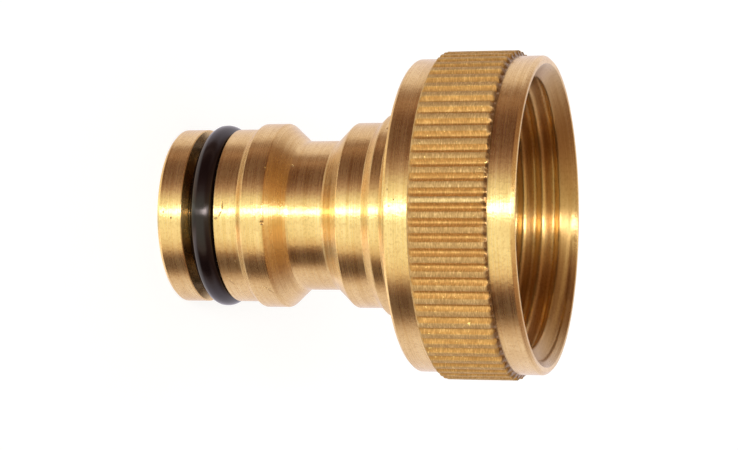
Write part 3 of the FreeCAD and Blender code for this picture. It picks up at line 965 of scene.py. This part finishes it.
def lathe_tree():
    tree, given = open_lathe()
    sums = partial(reckon, tree)
    grid, row, ridge, step = lay_grid(tree, given)
    within = place_in_ridge(tree, step)
    turn_share = sums("DIVIDE", sums("ADD", ridge, within), given["Ridges"])
    angle = sums("MULTIPLY", sums("ADD", turn_share, given["First Ridge Turn"]), math.tau)
    position = place(tree, "GeometryNodeInputPosition").outputs[0]
    drawn = from_section(tree, given, row, "FLOAT_VECTOR", position)
    drawn = place(tree, "ShaderNodeSeparateXYZ", {0: drawn}).outputs
    crisp, knurled, threaded, painted_shade = (
        from_section(tree, given, row, "FLOAT", named_value(tree, name)) for name in SECTION_MARKS)

    # threaded rows climb, and the bevel gets a little painted shade
    height = choose(tree, threaded, drawn["Z"], thread_climb(tree, given, drawn["Z"], turn_share))
    radius = choose(tree, threaded, drawn["X"], thread_radius(tree, given, height, turn_share))
    on_bevel = sums("MULTIPLY", threaded, sums("GREATER_THAN", height, given["Bevel Start"]))
    painted_shade = sums("MAXIMUM", painted_shade, sums("MULTIPLY", on_bevel, BEVEL_SHADE))

    # knurled rows are pressed in, and the last one at full height is ragged
    ridge = whole(tree, "MODULO", ridge, given["Ridges"])
    torn = torn_depth(tree, given, angle, drawn["Z"])
    ridge_radius, rubbed = knurl_radius(tree, given, ridge, within, torn)
    depth = sums("MAXIMUM", sums("SUBTRACT", radius, ridge_radius), 0.0)
    depth = sums("MULTIPLY", knurled, depth)
    radius = sums("SUBTRACT", radius, depth)
    pressed = sums("DIVIDE", depth, given["Groove Depth"])
    at_end = sums("COMPARE", drawn["Z"], given["Knurl End"], END_WITHIN)
    reach = sums("MULTIPLY", ragged_reach(tree, given, ridge, step), given["Ragged Ends"])
    height = sums("ADD", height, sums("MULTIPLY", sums("MULTIPLY", knurled, at_end), reach))

    turned = grid
    attributes = {"crisp": crisp, "knurled": knurled, "threaded": threaded, "painted_shade": painted_shade,
                  "pressed": pressed, "rubbed": rubbed}
    for name, value in attributes.items():
        inputs = {"Geometry": turned, "Name": name, "Value": value}
        turned = place(tree, "GeometryNodeStoreNamedAttribute", inputs,
                       data_type="FLOAT", domain="POINT").outputs[0]
    point = place(tree, "ShaderNodeCombineXYZ", {
        0: sums("MULTIPLY", radius, sums("COSINE", angle)),
        1: sums("MULTIPLY", radius, sums("SINE", angle)), 2: height}).outputs[0]
    inputs = {"Geometry": turned, "Position": point}
    turned = place(tree, "GeometryNodeSetPosition", inputs).outputs[0]
    inputs = {"Geometry": turned, "Distance": MERGE_WITHIN}
    turned = place(tree, "GeometryNodeMergeByDistance", inputs).outputs[0]
    turned = shade_edges(tree, turned)
    turned = place(tree, "GeometryNodeRealizeInstances", {0: turned}).outputs[0]
    place(tree, "NodeGroupOutput", {"Turned": set_finishes(tree, given, turned)})
    return tree


LATHE = lathe_tree()
print("lathe tree:", len(LATHE.nodes), "nodes")

# %% [markdown]
# ## Turn the body
#
# The modifier gets its sizes by the sockets' identifiers. The result is then kept as a plain mesh,
# because the other tools and the export want one, and the modifier goes. A closed, outward-facing
# shell has no open edge and a positive volume, so both are printed.

# %% Run the lathe
import bmesh


def set_input(modifier, name, value):
    """Set a named input through its socket's identifier."""
    sockets = modifier.node_group.interface.items_tree
    socket = next(item for item in sockets if item.name == name and item.in_out == "INPUT")
    modifier[socket.identifier] = value


def face_outwards(piece):
    """Turn an inside-out shell round, and print its measures."""
    shell = bmesh.new()
    shell.from_mesh(piece.data)
    volume = shell.calc_volume(signed=True)
    if volume < 0:
        bmesh.ops.reverse_faces(shell, faces=shell.faces)
        shell.to_mesh(piece.data)
    open_edges = sum(not edge.is_manifold for edge in shell.edges)
    triangles = sum(len(face.verts) - 2 for face in shell.faces)
    shell.free()
    print(piece.name, triangles, "triangles,", open_edges, "open edges,",
          round(volume * 1e9, 1), "mm3")


def turn_section(piece, **sizes):
    """Run the lathe tree on a section and keep the result as its mesh."""
    modifier = piece.modifiers.new("lathe", "NODES")
    modifier.node_group = LATHE
    for name, value in sizes.items():
        set_input(modifier, name.replace("_", " "), value)
    graph = bpy.context.evaluated_depsgraph_get()
    turned = piece.evaluated_get(graph)
    mesh = bpy.data.meshes.new_from_object(turned, preserve_all_data_layers=True, depsgraph=graph)
    piece.modifiers.remove(modifier)
    piece.data = mesh
    face_outwards(piece)


# %% [markdown]
# The body says how many ridges it has, where round the axis the first ridge and the thread begin,
# and which seed decides how high each ridge is. All its other sizes are the tree's defaults.

# %% Turn the body
RIDGES = 72
FIRST_RIDGE_TURN = 0.0064
RIDGE_SEED = 52
THREAD_TURN = 0.875

turn_section(body, Plain_Finish=TURNED, Knurl_Finish=KNURLED, Ridges=RIDGES,
             First_Ridge_Turn=FIRST_RIDGE_TURN, Thread_Turn=THREAD_TURN, Seed=RIDGE_SEED)
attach(body, "root")
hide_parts("connector_body")

# %% [markdown]
# ## Rubber
#
# Moulded rubber is black and slightly oily on the ring, and dull on the washer. One plain black
# would look like ink, so a fine noise gives it a skin, and a wider one a little dust that is paler
# and duller. Only numbers differ between the two, so one function makes both.

# %% Rubber finishes
DUST_CELLS, DUST_PALER = 420.0, 2.2
DUST_RANGE, DUST_DULLS = (0.5, 0.8, 0.0, 0.6), 0.1
SKIN_STRENGTH = 0.4


def rubber(name, colour, gloss, skin_height, skin_cells, shine=0.5, shine_tint=(1, 1, 1)):
    material, tree, shader = new_material(name)
    coordinates = place(tree, "ShaderNodeTexCoord").outputs["Object"]
    skin = noise(tree, coordinates, skin_cells, 4.0)
    dust = noise(tree, coordinates, DUST_CELLS, 5.0)
    pale = tuple(DUST_PALER * part for part in colour)
    dusty = map_range(tree, dust, *DUST_RANGE)
    tree.links.new(blend_colours(tree, "MIX", dusty, colour, pale), shader.inputs["Base Color"])
    duller = map_range(tree, dust, 0.3, 0.7, gloss, gloss + DUST_DULLS)
    tree.links.new(duller, shader.inputs["Roughness"])
    tree.links.new(bump(tree, SKIN_STRENGTH, skin_height, skin), shader.inputs["Normal"])
    shader.inputs["Specular IOR Level"].default_value = shine
    shader.inputs["Specular Tint"].default_value = (*shine_tint, 1)
    return material


RING_RUBBER = rubber("ring_rubber", (0.003, 0.0016, 0.0018), 0.07, 2e-6, 3500.0,
                     shine=0.46, shine_tint=(1.0, 0.84, 0.82))
WASHER_RUBBER = rubber("washer_rubber", (0.030, 0.030, 0.031), 0.62, 1e-5, 2600.0)
print("materials:", RING_RUBBER.name, WASHER_RUBBER.name)

# %% [markdown]
# ## The rubber ring
#
# The ring in the spigot's groove seals against the socket. A torus could do for it, but turned on
# the same lathe its section can have a low ridge, the line where the two halves of its mould met.

# %% Turn the rubber ring
RING_CENTRE_RADIUS, RING_HEIGHT, RING_SECTION_RADIUS = 7.22, 4.23, 1.2
RING_COLUMNS = 32
PARTING_AT, PARTING_HEIGHT, PARTING_WIDTH = math.radians(-16), 0.018, math.radians(4)


def ring_section(steps=72):
    """A circle with the low ridge of the mould's parting line."""
    rows = []
    for step in range(steps + 1):
        angle = math.tau * step / steps
        away = (angle - PARTING_AT + math.pi) % math.tau - math.pi
        ridge = PARTING_HEIGHT * math.exp(-(away / PARTING_WIDTH) ** 2)
        radius = RING_SECTION_RADIUS - PARTING_HEIGHT + ridge
        rows.append(section_row(RING_CENTRE_RADIUS + radius * math.cos(angle),
                                RING_HEIGHT + radius * math.sin(angle)))
    return rows


ring = section_object("rubber_ring", ring_section())
turn_section(ring, Ridges=RING_COLUMNS, Plain_Finish=RING_RUBBER)
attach(ring, "root")
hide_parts("o_ring")

# %% [markdown]
# ## The washer
#
# The flat washer lies deep in the mouth, where the tap's end presses on it. It could be a tube with
# a Bevel modifier, but the lathe is there already, and a rectangle with soft corners is all it
# needs.

# %% Turn the washer
WASHER_INNER, WASHER_OUTER, WASHER_LOW, WASHER_TOP = 7.959, 11.959, 25.15, 27.15
WASHER_CORNER = 0.18
WASHER_COLUMNS = 24


def washer_section(steps=4):
    """A rectangle with rounded corners, as a closed loop of rows."""
    inner, outer = WASHER_INNER + WASHER_CORNER, WASHER_OUTER - WASHER_CORNER
    low, top = WASHER_LOW + WASHER_CORNER, WASHER_TOP - WASHER_CORNER
    centres = ((outer, top, 0), (inner, top, 90), (inner, low, 180), (outer, low, 270))
    rows = []
    for radius, height, start in centres:
        for step in range(steps + 1):
            angle = math.radians(start + 90 * step / steps)
            rows.append(section_row(radius + WASHER_CORNER * math.cos(angle),
                                    height + WASHER_CORNER * math.sin(angle)))
    return rows + rows[:1]


washer = section_object("flat_washer", washer_section())
turn_section(washer, Ridges=WASHER_COLUMNS, Plain_Finish=WASHER_RUBBER)
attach(washer, "root")
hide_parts("sealing_washer")
